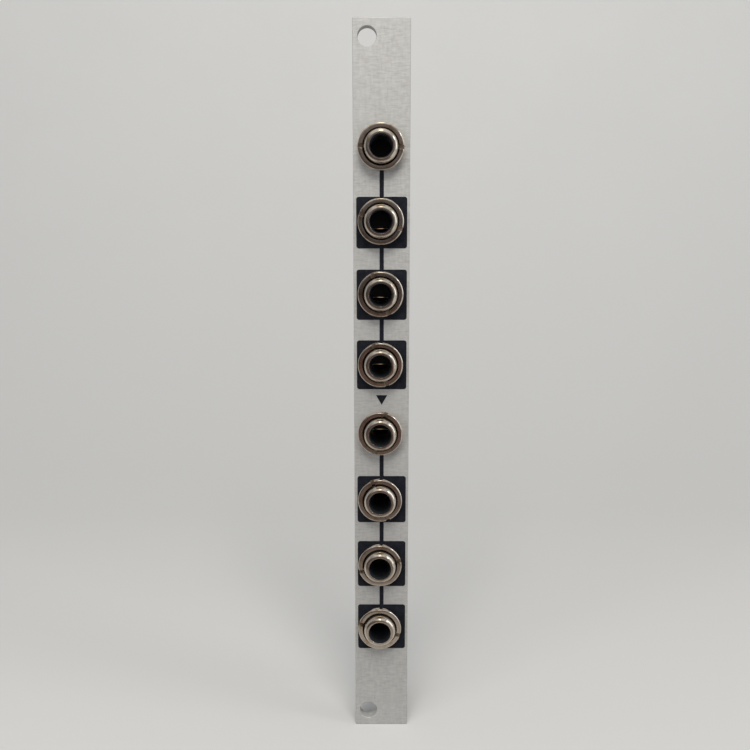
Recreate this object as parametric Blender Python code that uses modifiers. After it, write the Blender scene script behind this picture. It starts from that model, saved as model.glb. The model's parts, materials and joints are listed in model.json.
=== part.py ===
"""Slim rack module: a patch multiple with two linked groups of 3.5 mm jack sockets.

The panel stands upright: +Z is up and +Y points behind the panel. The origin is on the panel's
back face, on its centre line, level with the lower rail screws. A socket's own pieces are drawn
about its axis, with y = 0 on the panel's back face.
"""

import math

import bmesh
import bpy
from mathutils import Matrix, Vector

MM = 0.001

# Clearances
SEAT_GAP = 0.3 * MM  # between faces that touch on the real module
BORE_CLEARANCE = 0.2 * MM  # round a bushing, in each hole that it passes through
PIN_CLEARANCE = 0.2 * MM  # round the corners of a solder pin, in the board
PLUG_CLEARANCE = 0.2 * MM  # between an inserted plug and the switch contact
OVERRUN = 1.0 * MM  # how far a cutter reaches past what it cuts

# Front panel
PANEL_WIDTH = 9.8 * MM
PANEL_HEIGHT = 128.5 * MM
PANEL_THICKNESS = 2.0 * MM
RAIL_LINE_INSET = 3.0 * MM  # from the top or bottom edge to the line of the rail screws
MOUNT_HOLE_DIAMETER = 3.2 * MM
MOUNT_HOLE_INSET = 2.45 * MM  # from the left edge to the centre of a mounting hole

# Column of sockets
JACK_COUNT = 8
JACK_GAP = 1.3 * MM  # between a housing and the lug of the socket below it
COLUMN_DROP = 0.325 * MM  # the middle of the column below the middle of the panel
TOP_JACK_SHIFT = -0.1 * MM  # sideways, from the panel's centre line
BOTTOM_JACK_SHIFT = -0.32 * MM

# Threaded bushing
BUSHING_BORE = 3.7 * MM
BUSHING_WALL = 1.075 * MM  # from the bore to the outside of the thread
BUSHING_PROUD = 3.2 * MM  # rim in front of the panel
RIM_ROUND = 0.42 * MM
BORE_CHAMFER = 0.3 * MM
FLANGE_LIP = 0.575 * MM  # from the outside of the thread to the flange's edge
FLANGE_THICKNESS = 0.8 * MM

# Nut
NUT_WALL = 0.85 * MM  # from its bore to its outside
NUT_THICKNESS = 1.5 * MM
NUT_OUTER_CHAMFER = 0.22 * MM
NUT_INNER_CHAMFER = 0.18 * MM
NUT_SLOT_WIDTH = 0.68 * MM
NUT_SLOT_DEPTH = 0.8 * MM
NUT_SLOT_DEGREES = (-2, 160, 113, 108, 75, 112, 16, 163)  # counter-clockwise from +X, from the front

# Socket housing
HOUSING_DEPTH = 8.35 * MM
HOUSING_WALL = 0.7 * MM
HOUSING_FRONT_WALL = 1.0 * MM
HOUSING_EDGE = 0.25 * MM
FLANGE_ROOM = 0.3 * MM  # between the flange and the walls round it
CONTACT_ROOM = 1.5 * MM  # height for the contacts under the flange
WINDOW_TOP = 1.5 * MM  # top of the side windows below the axis
WINDOW_SILL = 0.8 * MM  # bottom of the side windows above the housing's floor
WINDOW_FRONT = 3.0 * MM  # behind the housing's front face
WINDOW_REAR = 1.15 * MM  # in front of the housing's rear face

# Contacts
CONTACT_SHEET = 0.35 * MM
SPRING_SHEET = 0.25 * MM
PIN_WIDTH = 0.8 * MM
PIN_PROUD = 1.8 * MM  # behind the board
PIN_SHOULDER = 0.4 * MM  # length over which a strip narrows to its pin
FOLD_ROUND = 0.3 * MM
SLEEVE_PLATE_MARGIN = 0.675 * MM  # of the plate round its hole
SLEEVE_STRAP_WIDTH = 3.0 * MM
SLEEVE_TAPER = 0.6 * MM  # height over which the plate narrows to its strap
SWITCH_FINGER_WIDTH = 0.5 * MM
SPRING_WIDTH = 2.7 * MM
SPRING_CREST_REACH = 0.75 * MM  # how far the crest stands into the plug's way
SPRING_CREST_SETBACK = 2.45 * MM  # crest behind the bushing's rear face
SPRING_CREST_HALF = 0.35 * MM  # half the length of the crest's flat
SPRING_CREST_CROWN = 0.12 * MM  # height of the crest's middle over its ends
SPRING_TAIL_SETBACK = 0.45 * MM  # free end behind the bushing's rear face
SPRING_TAIL_LENGTH = 0.65 * MM
SPRING_ROOT_LENGTH = 1.5 * MM
SPRING_ROOT_INSET = 0.1 * MM  # fixed end in front of the housing's open rear
HINGE_INSET = 0.4 * MM  # bending line in front of the fixed end
LUG_LEAD = 0.8 * MM  # front of the tip lug in front of the bending line
LUG_WIDTH = 2.0 * MM

# Circuit board
BOARD_MARGIN = 0.2 * MM  # past the housings, on each side
BOARD_THICKNESS = 1.6 * MM
BOARD_END_REACH = 7.0 * MM  # past the axes of the top and bottom sockets

# Facets and shading
ROUND_SIDES = 24
SMALL_HOLE_SIDES = 12
RIM_STEPS = 3
FOLD_STEPS = 2
SHARP_ANGLE = math.radians(40)

# Radii about a socket's axis
BORE_RADIUS = BUSHING_BORE / 2
BUSHING_RADIUS = BORE_RADIUS + BUSHING_WALL
BUSHING_HOLE_RADIUS = BUSHING_RADIUS + BORE_CLEARANCE
FLANGE_RADIUS = BUSHING_RADIUS + FLANGE_LIP
NUT_RADIUS = BUSHING_HOLE_RADIUS + NUT_WALL

# Places along Y, from the panel to the pin tips
PANEL_FRONT = -PANEL_THICKNESS
RIM_Y = PANEL_FRONT - BUSHING_PROUD
NUT_REAR = PANEL_FRONT - SEAT_GAP
NUT_FRONT = NUT_REAR - NUT_THICKNESS
SLEEVE_PLATE_Y = SEAT_GAP + CONTACT_SHEET / 2
HOUSING_FRONT = SLEEVE_PLATE_Y + CONTACT_SHEET / 2 + SEAT_GAP
HOUSING_REAR = HOUSING_FRONT + HOUSING_DEPTH
FLANGE_FRONT = HOUSING_FRONT + HOUSING_FRONT_WALL + SEAT_GAP
BUSHING_REAR = FLANGE_FRONT + FLANGE_THICKNESS
BOARD_FRONT = HOUSING_REAR + SEAT_GAP
BOARD_REAR = BOARD_FRONT + BOARD_THICKNESS
PIN_TIP = BOARD_REAR + PIN_PROUD

# Fits inside a socket, about its axis
CAVITY_HALF = FLANGE_RADIUS + FLANGE_ROOM  # to the side walls, and to the wall above
CAVITY_BOTTOM = -CAVITY_HALF - CONTACT_ROOM
HOUSING_HALF_WIDTH = CAVITY_HALF + HOUSING_WALL
HOUSING_TOP = CAVITY_HALF + HOUSING_WALL
HOUSING_BOTTOM = CAVITY_BOTTOM - HOUSING_WALL
SLEEVE_STRAP_Z = HOUSING_TOP + SEAT_GAP + CONTACT_SHEET / 2
SWITCH_X = CAVITY_HALF - SEAT_GAP - PIN_WIDTH / 2
SWITCH_Z = -(BORE_RADIUS + PLUG_CLEARANCE + CONTACT_SHEET / 2)
SWITCH_FRONT = BUSHING_REAR + SEAT_GAP
LUG_Z = CAVITY_BOTTOM + SEAT_GAP + CONTACT_SHEET / 2
SPRING_ROOT_Z = LUG_Z + CONTACT_SHEET / 2 + SEAT_GAP + SPRING_SHEET / 2
SPRING_TAIL_Z = SWITCH_Z - CONTACT_SHEET / 2 - SEAT_GAP - SPRING_SHEET / 2
SPRING_CREST_Z = SPRING_CREST_REACH - BORE_RADIUS - SPRING_SHEET / 2
SPRING_CREST_Y = BUSHING_REAR + SPRING_CREST_SETBACK
SPRING_END_Y = HOUSING_REAR - SPRING_ROOT_INSET
HINGE_Y = SPRING_END_Y - HINGE_INSET
PIN_HOLE_RADIUS = math.hypot(PIN_WIDTH, CONTACT_SHEET) / 2 + PIN_CLEARANCE
PIN_PLACES = ((0, SLEEVE_STRAP_Z), (SWITCH_X, SWITCH_Z), (0, LUG_Z))

# Places along Z
UPPER_RAIL_LINE = PANEL_HEIGHT - 2 * RAIL_LINE_INSET
COLUMN_MIDDLE = UPPER_RAIL_LINE / 2 - COLUMN_DROP
JACK_PITCH = SLEEVE_STRAP_Z + CONTACT_SHEET / 2 + JACK_GAP - HOUSING_BOTTOM
COLUMN_HALF = (JACK_COUNT - 1) * JACK_PITCH / 2

# Colour, roughness and metallic value of each finish
FINISHES = {
    "brushed_aluminium": ((0.56, 0.55, 0.53), 0.42, 1.0),
    "nickel": ((0.60, 0.55, 0.47), 0.2, 1.0),
    "tinned_contact": ((0.62, 0.61, 0.58), 0.35, 1.0),
    "spring_bronze": ((0.55, 0.32, 0.17), 0.3, 1.0),
    "black_plastic": ((0.018, 0.018, 0.02), 0.5, 0.0),
    "board_laminate": ((0.02, 0.1, 0.045), 0.4, 0.0),
}


def clear_scene():
    for obj in list(bpy.data.objects):
        bpy.data.objects.remove(obj, do_unlink=True)


def new_collection(name):
    made = bpy.data.collections.new(name)
    bpy.context.scene.collection.children.link(made)
    return made


def new_material(name):
    color, roughness, metallic = FINISHES[name]
    made = bpy.data.materials.new(name)
    made.use_nodes = True
    shader = made.node_tree.nodes["Principled BSDF"]
    shader.inputs["Base Color"].default_value = (*color, 1)
    shader.inputs["Roughness"].default_value = roughness
    shader.inputs["Metallic"].default_value = metallic
    made.diffuse_color = (*color, 1)
    return made


def new_object(name, bm, collection):
    """Object with this name that holds the bmesh, which is freed."""
    mesh = bpy.data.meshes.new(name)
    bm.to_mesh(mesh)
    bm.free()
    made = bpy.data.objects.new(name, mesh)
    collection.objects.link(made)
    return made


def add_box(bm, low, high):
    low = Vector(low)
    size = Vector(high) - low
    place = Matrix.Translation(low + size / 2) @ Matrix.Diagonal((*size, 1))
    bmesh.ops.create_cube(bm, size=1, matrix=place)


def add_rod(bm, radius, x, z, front, rear, sides):
    """Round rod along Y between two depths."""
    place = Matrix.Translation((x, (front + rear) / 2, z)) @ Matrix.Rotation(math.pi / 2, 4, "X")
    bmesh.ops.create_cone(
        bm,
        cap_ends=True,
        segments=sides,
        radius1=radius,
        radius2=radius,
        depth=rear - front,
        matrix=place,
    )


def cut(obj, cutter):
    """Subtract a cutter, which stays in the scene as a hidden wire."""
    cutter.hide_render = True
    cutter.display_type = "WIRE"
    modifier = obj.modifiers.new("cut_" + cutter.name, "BOOLEAN")
    modifier.operation = "DIFFERENCE"
    modifier.solver = "EXACT"
    modifier.object = cutter


def solidify(obj, thickness):
    modifier = obj.modifiers.new("sheet", "SOLIDIFY")
    modifier.thickness = thickness
    modifier.offset = 0
    modifier.use_even_offset = True


def bevel(obj, width, segments):
    modifier = obj.modifiers.new("edges", "BEVEL")
    modifier.width = width
    modifier.segments = segments
    modifier.limit_method = "ANGLE"
    modifier.angle_limit = math.radians(20)


def finished_mesh(obj, material):
    """Mesh of an object with its modifiers applied. The object itself is removed."""
    bpy.context.view_layer.update()
    graph = bpy.context.evaluated_depsgraph_get()
    mesh = bpy.data.meshes.new_from_object(obj.evaluated_get(graph))
    name = obj.name
    bpy.data.objects.remove(obj)
    mesh.name = name
    mesh.materials.clear()
    mesh.materials.append(material)
    mesh.shade_smooth()
    mesh.set_sharp_from_angle(angle=SHARP_ANGLE)
    return mesh


def turned(name, profile, collection):
    """Closed profile of (radius, y) points turned about the Y axis."""
    bm = bmesh.new()
    ring = [bm.verts.new((radius, y, 0)) for radius, y in profile]
    for here, following in zip(ring, ring[1:] + ring[:1]):
        bm.edges.new((here, following))
    made = new_object(name, bm, collection)
    modifier = made.modifiers.new("turn", "SCREW")
    modifier.axis = "Y"
    modifier.angle = 2 * math.pi
    modifier.steps = ROUND_SIDES
    modifier.render_steps = ROUND_SIDES
    modifier.use_merge_vertices = False
    modifier.use_normal_flip = True
    return made


def formed_strip(name, stations, thickness, collection):
    """Sheet metal strip through stations of (y, z, half width), folded at each turn of its path."""
    bm = bmesh.new()
    pairs = [(bm.verts.new((-half, y, z)), bm.verts.new((half, y, z))) for y, z, half in stations]
    for (left, right), (next_left, next_right) in zip(pairs, pairs[1:]):
        bm.faces.new((left, right, next_right, next_left))
    made = new_object(name, bm, collection)
    bevel(made, FOLD_ROUND, FOLD_STEPS)
    solidify(made, thickness)
    return made


def rim_arc():
    """Points of the rounded outer edge of a bushing's rim, from its flat front to its side."""
    radius = BUSHING_RADIUS - RIM_ROUND
    y = RIM_Y + RIM_ROUND
    angles = [math.pi / 2 * step / RIM_STEPS for step in range(RIM_STEPS + 1)]
    return [(radius + RIM_ROUND * math.sin(a), y - RIM_ROUND * math.cos(a)) for a in angles]


def bushing_mesh(material, workshop):
    profile = [
        (BORE_RADIUS, RIM_Y + BORE_CHAMFER),
        (BORE_RADIUS + BORE_CHAMFER, RIM_Y),
        *rim_arc(),
        (BUSHING_RADIUS, FLANGE_FRONT),
        (FLANGE_RADIUS, FLANGE_FRONT),
        (FLANGE_RADIUS, BUSHING_REAR),
        (BORE_RADIUS, BUSHING_REAR),
    ]
    return finished_mesh(turned("bushing", profile, workshop), material)


def nut_mesh(material, workshop):
    """Round nut with one screwdriver slot right across its front, along X."""
    profile = [
        (BUSHING_HOLE_RADIUS, NUT_FRONT + NUT_INNER_CHAMFER),
        (BUSHING_HOLE_RADIUS + NUT_INNER_CHAMFER, NUT_FRONT),
        (NUT_RADIUS - NUT_OUTER_CHAMFER, NUT_FRONT),
        (NUT_RADIUS, NUT_FRONT + NUT_OUTER_CHAMFER),
        (NUT_RADIUS, NUT_REAR),
        (BUSHING_HOLE_RADIUS, NUT_REAR),
    ]
    nut = turned("nut", profile, workshop)
    bm = bmesh.new()
    reach = NUT_RADIUS + OVERRUN
    low = (-reach, NUT_FRONT - OVERRUN, -NUT_SLOT_WIDTH / 2)
    high = (reach, NUT_FRONT + NUT_SLOT_DEPTH, NUT_SLOT_WIDTH / 2)
    add_box(bm, low, high)
    slot = new_object("nut_slot", bm, workshop)
    cut(nut, slot)
    return finished_mesh(nut, material)


def housing_mesh(material, workshop):
    """Moulded box, open at the rear, with a hole for the bushing and a window in each side."""
    half = HOUSING_HALF_WIDTH
    bm = bmesh.new()
    add_box(bm, (-half, HOUSING_FRONT, HOUSING_BOTTOM), (half, HOUSING_REAR, HOUSING_TOP))
    housing = new_object("housing", bm, workshop)
    bevel(housing, HOUSING_EDGE, 1)

    bm = bmesh.new()
    low = (-CAVITY_HALF, HOUSING_FRONT + HOUSING_FRONT_WALL, CAVITY_BOTTOM)
    high = (CAVITY_HALF, HOUSING_REAR + OVERRUN, CAVITY_HALF)
    add_box(bm, low, high)
    cut(housing, new_object("housing_cavity", bm, workshop))

    bm = bmesh.new()
    front = HOUSING_FRONT - OVERRUN
    rear = HOUSING_FRONT + HOUSING_FRONT_WALL + OVERRUN
    add_rod(bm, BUSHING_HOLE_RADIUS, 0, 0, front, rear, ROUND_SIDES)
    cut(housing, new_object("housing_bushing_hole", bm, workshop))

    bm = bmesh.new()
    reach = half + OVERRUN
    low = (-reach, HOUSING_FRONT + WINDOW_FRONT, CAVITY_BOTTOM + WINDOW_SILL)
    high = (reach, HOUSING_REAR - WINDOW_REAR, -WINDOW_TOP)
    add_box(bm, low, high)
    cut(housing, new_object("housing_windows", bm, workshop))
    return finished_mesh(housing, material)


def sleeve_lug_mesh(material, workshop):
    """Plate round the bushing in front of the housing, folded back over it to a solder pin."""
    plate = BUSHING_HOLE_RADIUS + SLEEVE_PLATE_MARGIN
    strap = SLEEVE_STRAP_WIDTH / 2
    taper_top = SLEEVE_STRAP_Z - 2 * FOLD_ROUND
    stations = [
        (SLEEVE_PLATE_Y, -plate, plate),
        (SLEEVE_PLATE_Y, taper_top - SLEEVE_TAPER, plate),
        (SLEEVE_PLATE_Y, taper_top, strap),
        (SLEEVE_PLATE_Y, SLEEVE_STRAP_Z, strap),
        (HOUSING_REAR - PIN_SHOULDER, SLEEVE_STRAP_Z, strap),
        (HOUSING_REAR, SLEEVE_STRAP_Z, PIN_WIDTH / 2),
        (PIN_TIP, SLEEVE_STRAP_Z, PIN_WIDTH / 2),
    ]
    lug = formed_strip("sleeve_lug", stations, CONTACT_SHEET, workshop)
    bm = bmesh.new()
    front = SLEEVE_PLATE_Y - OVERRUN
    rear = SLEEVE_PLATE_Y + OVERRUN
    add_rod(bm, BUSHING_HOLE_RADIUS, 0, 0, front, rear, ROUND_SIDES)
    cut(lug, new_object("sleeve_lug_hole", bm, workshop))
    return finished_mesh(lug, material)


def tip_lug_mesh(material, workshop):
    """Fixed root of the tip spring on the housing's floor, narrowing to its solder pin."""
    stations = [
        (HINGE_Y - LUG_LEAD, LUG_Z, LUG_WIDTH / 2),
        (HOUSING_REAR - PIN_SHOULDER, LUG_Z, LUG_WIDTH / 2),
        (HOUSING_REAR, LUG_Z, PIN_WIDTH / 2),
        (PIN_TIP, LUG_Z, PIN_WIDTH / 2),
    ]
    return finished_mesh(formed_strip("tip_lug", stations, CONTACT_SHEET, workshop), material)


def tip_spring_mesh(material, workshop):
    """Leaf that a plug's tip pushes down, drawn about the line that it bends on."""
    half = SPRING_WIDTH / 2
    tail = BUSHING_REAR + SPRING_TAIL_SETBACK
    side_z = SPRING_CREST_Z - SPRING_CREST_CROWN
    path = [
        (tail, SPRING_TAIL_Z),
        (tail + SPRING_TAIL_LENGTH, SPRING_TAIL_Z),
        (SPRING_CREST_Y - SPRING_CREST_HALF, side_z),
        (SPRING_CREST_Y, SPRING_CREST_Z),
        (SPRING_CREST_Y + SPRING_CREST_HALF, side_z),
        (SPRING_END_Y - SPRING_ROOT_LENGTH, SPRING_ROOT_Z),
        (SPRING_END_Y, SPRING_ROOT_Z),
    ]
    stations = [(y - HINGE_Y, z - SPRING_ROOT_Z, half) for y, z in path]
    return finished_mesh(formed_strip("tip_spring", stations, SPRING_SHEET, workshop), material)


def switch_contact_mesh(material, workshop):
    """Flat L: a finger over the spring's free end, and a strip back to the solder pin."""
    inner = SWITCH_X - PIN_WIDTH / 2
    outer = SWITCH_X + PIN_WIDTH / 2
    finger_rear = SWITCH_FRONT + SWITCH_FINGER_WIDTH
    outline = [
        (-SPRING_WIDTH / 2, SWITCH_FRONT),
        (outer, SWITCH_FRONT),
        (outer, PIN_TIP),
        (inner, PIN_TIP),
        (inner, finger_rear),
        (-SPRING_WIDTH / 2, finger_rear),
    ]
    bm = bmesh.new()
    bm.faces.new([bm.verts.new((x, y, SWITCH_Z)) for x, y in outline])
    contact = new_object("switch_contact", bm, workshop)
    solidify(contact, CONTACT_SHEET)
    return finished_mesh(contact, material)


def jack_axes():
    """(x, z) of each socket's axis, from the top down."""
    axes = []
    for index in range(JACK_COUNT):
        share = index / max(JACK_COUNT - 1, 1)
        x = TOP_JACK_SHIFT + (BOTTOM_JACK_SHIFT - TOP_JACK_SHIFT) * share
        axes.append((x, COLUMN_MIDDLE + COLUMN_HALF - index * JACK_PITCH))
    return axes


def front_panel(material, parts, cutters):
    half = PANEL_WIDTH / 2
    bm = bmesh.new()
    low = (-half, PANEL_FRONT, -RAIL_LINE_INSET)
    add_box(bm, low, (half, 0, UPPER_RAIL_LINE + RAIL_LINE_INSET))
    panel = new_object("front_panel", bm, parts)
    panel.data.materials.append(material)

    bm = bmesh.new()
    front = PANEL_FRONT - OVERRUN
    for x, z in jack_axes():
        add_rod(bm, BUSHING_HOLE_RADIUS, x, z, front, OVERRUN, ROUND_SIDES)
    for z in (0, UPPER_RAIL_LINE):
        add_rod(bm, MOUNT_HOLE_DIAMETER / 2, MOUNT_HOLE_INSET - half, z, front, OVERRUN, ROUND_SIDES)
    cut(panel, new_object("panel_holes", bm, cutters))
    panel.modifiers.new("flats", "TRIANGULATE")
    return panel


def circuit_board(material, parts, cutters):
    half = HOUSING_HALF_WIDTH + BOARD_MARGIN
    reach = COLUMN_HALF + BOARD_END_REACH
    bm = bmesh.new()
    low = (-half, BOARD_FRONT, COLUMN_MIDDLE - reach)
    add_box(bm, low, (half, BOARD_REAR, COLUMN_MIDDLE + reach))
    board = new_object("circuit_board", bm, parts)
    board.data.materials.append(material)

    bm = bmesh.new()
    front = BOARD_FRONT - OVERRUN
    rear = BOARD_REAR + OVERRUN
    for axis_x, axis_z in jack_axes():
        for x, z in PIN_PLACES:
            add_rod(bm, PIN_HOLE_RADIUS, axis_x + x, axis_z + z, front, rear, SMALL_HOLE_SIDES)
    cut(board, new_object("board_holes", bm, cutters))
    return board


def place(name, mesh, jack, parts, location=(0, 0, 0), turn=0):
    """Piece of a socket, placed in the frame of its empty and turned about the socket's axis."""
    piece = bpy.data.objects.new(name, mesh)
    parts.objects.link(piece)
    piece.parent = jack
    piece.location = location
    piece.rotation_euler.y = turn
    return piece


def sockets(materials, parts, workshop):
    bushing = bushing_mesh(materials["nickel"], workshop)
    nut = nut_mesh(materials["nickel"], workshop)
    housing = housing_mesh(materials["black_plastic"], workshop)
    sleeve_lug = sleeve_lug_mesh(materials["nickel"], workshop)
    tip_lug = tip_lug_mesh(materials["tinned_contact"], workshop)
    tip_spring = tip_spring_mesh(materials["spring_bronze"], workshop)
    switch_contact = switch_contact_mesh(materials["tinned_contact"], workshop)
    hinge = (0, HINGE_Y, SPRING_ROOT_Z)
    for index, (x, z) in enumerate(jack_axes()):
        name = f"jack_{index + 1}"
        jack = bpy.data.objects.new(name, None)
        parts.objects.link(jack)
        jack.location = (x, 0, z)
        slot = math.radians(NUT_SLOT_DEGREES[index % len(NUT_SLOT_DEGREES)])
        place(name + "_nut", nut, jack, parts, turn=-slot)
        place(name + "_bushing", bushing, jack, parts)
        place(name + "_housing", housing, jack, parts)
        place(name + "_sleeve_lug", sleeve_lug, jack, parts)
        place(name + "_tip_lug", tip_lug, jack, parts)
        place(name + "_tip_spring", tip_spring, jack, parts, location=hinge)
        place(name + "_switch_contact", switch_contact, jack, parts)


def main():
    clear_scene()
    parts = new_collection("patch_multiple")
    cutters = new_collection("cutters")
    materials = {name: new_material(name) for name in FINISHES}
    front_panel(materials["brushed_aluminium"], parts, cutters)
    circuit_board(materials["board_laminate"], parts, cutters)
    sockets(materials, parts, cutters)


main()
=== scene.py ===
"""Looks of a slim rack module, a patch multiple with eight 3.5 mm sockets, built round its solids.

The panel stands upright with its front to -Y and +Z up. Lengths are metres, written as
millimetres times MM. A socket's own pieces are drawn about its axis, which runs along Y.
"""

import json
import math

import bmesh
import bpy
from mathutils import Euler, Matrix, Vector

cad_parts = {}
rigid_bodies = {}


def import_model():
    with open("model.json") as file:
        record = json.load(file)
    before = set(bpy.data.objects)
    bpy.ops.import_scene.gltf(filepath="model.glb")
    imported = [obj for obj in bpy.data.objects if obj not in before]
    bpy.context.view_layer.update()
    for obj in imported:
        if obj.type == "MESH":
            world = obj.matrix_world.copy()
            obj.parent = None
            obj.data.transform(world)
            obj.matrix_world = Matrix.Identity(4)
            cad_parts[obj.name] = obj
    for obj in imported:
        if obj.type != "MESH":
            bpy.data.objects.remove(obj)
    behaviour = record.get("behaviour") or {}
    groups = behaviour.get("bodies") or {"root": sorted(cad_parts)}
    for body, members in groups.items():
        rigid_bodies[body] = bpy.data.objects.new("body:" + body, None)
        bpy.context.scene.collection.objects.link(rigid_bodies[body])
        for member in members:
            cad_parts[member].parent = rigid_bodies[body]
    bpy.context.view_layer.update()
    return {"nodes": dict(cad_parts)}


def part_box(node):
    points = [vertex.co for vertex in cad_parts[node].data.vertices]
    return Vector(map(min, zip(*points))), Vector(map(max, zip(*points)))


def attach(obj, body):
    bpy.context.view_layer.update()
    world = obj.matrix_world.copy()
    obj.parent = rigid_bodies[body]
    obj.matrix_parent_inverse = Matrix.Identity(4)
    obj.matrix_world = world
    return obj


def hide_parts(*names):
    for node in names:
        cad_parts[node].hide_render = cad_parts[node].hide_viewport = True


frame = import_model()
NODES = frame["nodes"]

MM = 0.001

# Sizes and places of the solids
JACKS = range(1, 1 + sum(name.endswith("_nut") for name in NODES))
PANEL_LOW, PANEL_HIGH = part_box("front_panel")
BOARD_LOW, BOARD_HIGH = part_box("circuit_board")
NUT_LOW, NUT_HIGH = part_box("jack_1_nut")
BUSHING_LOW, BUSHING_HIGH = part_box("jack_1_bushing")
HOUSING_LOW, HOUSING_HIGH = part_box("jack_1_housing")
STRAP_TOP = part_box("jack_1_sleeve_lug")[1].z
SWITCH_LOW, SWITCH_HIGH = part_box("jack_1_switch_contact")
LUG_LOW, LUG_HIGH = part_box("jack_1_tip_lug")
PANEL_FRONT = PANEL_LOW.y
PANEL_BACK = PANEL_HIGH.y
NUT_FRONT = NUT_LOW.y
RIM_Y = BUSHING_LOW.y
BUSHING_REAR = BUSHING_HIGH.y
BOARD_FRONT = BOARD_LOW.y
BOARD_REAR = BOARD_HIGH.y
NUT_RADIUS = (NUT_HIGH.z - NUT_LOW.z) / 2
FLANGE_RADIUS = (BUSHING_HIGH.z - BUSHING_LOW.z) / 2

# Panel
HOLE_RADIUS = 3.125 * MM
MOUNT_HOLE_RADIUS = 1.6 * MM
MOUNT_HOLE_INSET = 2.45 * MM  # from the left edge
RAIL_LINE_INSET = 3.0 * MM  # from the top or bottom edge
PANEL_EDGE = 0.12 * MM
PANEL_CORNER = 0.25 * MM
PLATE_EDGE_STEPS = 2

# Printed marks
INK_THICKNESS = 0.02 * MM
SQUARE_SIZE = 8.8 * MM
SQUARE_CORNER = 0.45 * MM
SQUARE_DROP = 0.215 * MM  # middle of a square below its socket's axis
PRINT_X = 0.03 * MM  # middle of the printed column
LINE_WIDTH = 0.74 * MM
LINE_START = 3.6 * MM  # below the axis of a group's first socket
TRIANGLE_WIDTH = 2.0 * MM
TRIANGLE_HEIGHT = 1.76 * MM
TRIANGLE_TOP = 5.7 * MM  # below the axis of the first group's last socket
FIRST_OF_GROUP = (1, 5)

# Nut
NUT_GAP = 0.16 * MM  # between the nut's bore and the thread's crests
NUT_ROUND = 0.28 * MM
NUT_MOUTH = 0.1 * MM
NUT_MOUTH_DEPTH = 0.12 * MM
NUT_MOUTH_LIP = 0.03 * MM
NUT_RIM = 0.8 * MM  # length of its full diameter
NUT_BOSS_RADIUS = 3.45 * MM  # behind the rim, against the panel
NUT_LIP = 0.06 * MM
SLOT_WIDTH = 0.68 * MM
SLOT_DEPTH = 0.75 * MM
SLOT_DEGREES = (-2, 160, 113, 108, 75, 112, 16, 163)  # counter-clockwise from +X, from the front
EDGE_BREAK = 0.035 * MM

# Bushing
BORE_RADIUS = 1.85 * MM
THREAD_RADIUS = 2.925 * MM
THREAD_PITCH = 0.5 * MM
THREAD_DEPTH = 0.26 * MM
THREAD_LEAD = 0.2 * MM  # plain length at each end of the thread
THREAD_TURN = 1.0  # radians from one bushing to the next, so that no two threads start alike
ROWS_PER_TURN = 8
NOSE_WIDTH = 0.68 * MM  # of the round from the rim's flat face to the full diameter
NOSE_LENGTH = 1.1 * MM
NOSE_STEPS = 16
MOUTH_RADIUS = 2.05 * MM
MOUTH_DEPTH = 0.7 * MM
MOUTH_LIP = 0.03 * MM
FLANGE_THICKNESS = 0.8 * MM
FLANGE_ROUND = 0.1 * MM

# Socket body
BODY_WALL = 0.7 * MM
BODY_FRONT_WALL = 1.0 * MM
BODY_REAR_WALL = 0.12 * MM
BODY_EDGE = 0.25 * MM
BODY_EDGE_STEPS = 3
MOULDED_EDGE = 0.06 * MM
MOULDED_ANGLE = math.radians(50)  # least angle of the edges that the mould rounds
REAR_MOUTH_MARGIN = 0.12 * MM  # over the switch contact
WINDOW_TOP = -1.5 * MM
WINDOW_BOTTOM = -4.5 * MM
WINDOW_FRONT = 3.95 * MM
WINDOW_REAR = 8.15 * MM
RECESS_DEPTH = 0.15 * MM
RECESS_MARGIN = 0.45 * MM
RIB_WIDTH = 0.3 * MM
RIB_HEIGHT = 0.3 * MM
RIB_GAP = 0.15 * MM  # between a rib and the strap beside it
FOOT_SIZE = 1.1 * MM
FOOT_GAP = 0.03 * MM

# Tip spring
LIP_Y = 5.2 * MM
LIP_Z = -1.24 * MM  # from the socket's axis
LIP_WIDTH = 2.7 * MM
LIP_HEIGHT = 0.2 * MM
LIP_THICKNESS = 0.3 * MM
LIP_TILT = math.radians(6.5)

# Pins, pads, solder and tracks
PIN_WIDTH = 0.8 * MM
CONTACT_SHEET = 0.35 * MM
STRAP_HALF = 1.5 * MM
PAD_RADIUS = 0.92 * MM
DRILL_RADIUS = 0.55 * MM
FOIL = 0.035 * MM
MASK = 0.03 * MM
SOLDER_HEIGHT = 1.05 * MM
SOLDER_SPREAD = 0.86 * MM
SOLDER_HUG = 0.06 * MM  # thickness of the solder at its top, round the pin
SOLDER_ROWS = 12
SOLDER_SAG = 2.2  # power of the climb that draws the fillet in
SOLDER_LIFT = 1.1  # power of the climb that spaces its rows
PIN_SQUARENESS = 4  # power of the rounded rectangle round a pin
TRACK_WIDTH = 0.5 * MM
GROUND_WIDTH = 0.9 * MM
TIP_TRACK_X = -2.3 * MM
GROUND_TRACK_X = 1.75 * MM
BOARD_CORNER = 0.6 * MM
MITRE_LIMIT = 0.5  # least cosine of half the turn at a corner of a track

# Facets
ROUND_SIDES = 128
SMALL_SIDES = 40
ARC_STEPS = 5
TURNED_STEPS = 6
EDGE_STEPS = 2
SMOOTH_ANGLE = math.radians(38)
FLAT_LIMIT = 0.9999  # least share of Y in the normal of a face that counts as square to Y
OVERRUN = 1.0 * MM
MERGE_DISTANCE = 0.0001 * MM

# Camera
LENS = 40.95
CAMERA_PLACE = (-0.41 * MM, -151.8 * MM, 91.5 * MM)
CAMERA_PITCH = math.radians(9.99)  # down
CAMERA_YAW = math.radians(0.285)  # towards -X
CAMERA_ROLL = math.radians(-0.055)
CLIP_NEAR = 5 * MM
CLIP_FAR = 5000 * MM

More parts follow.
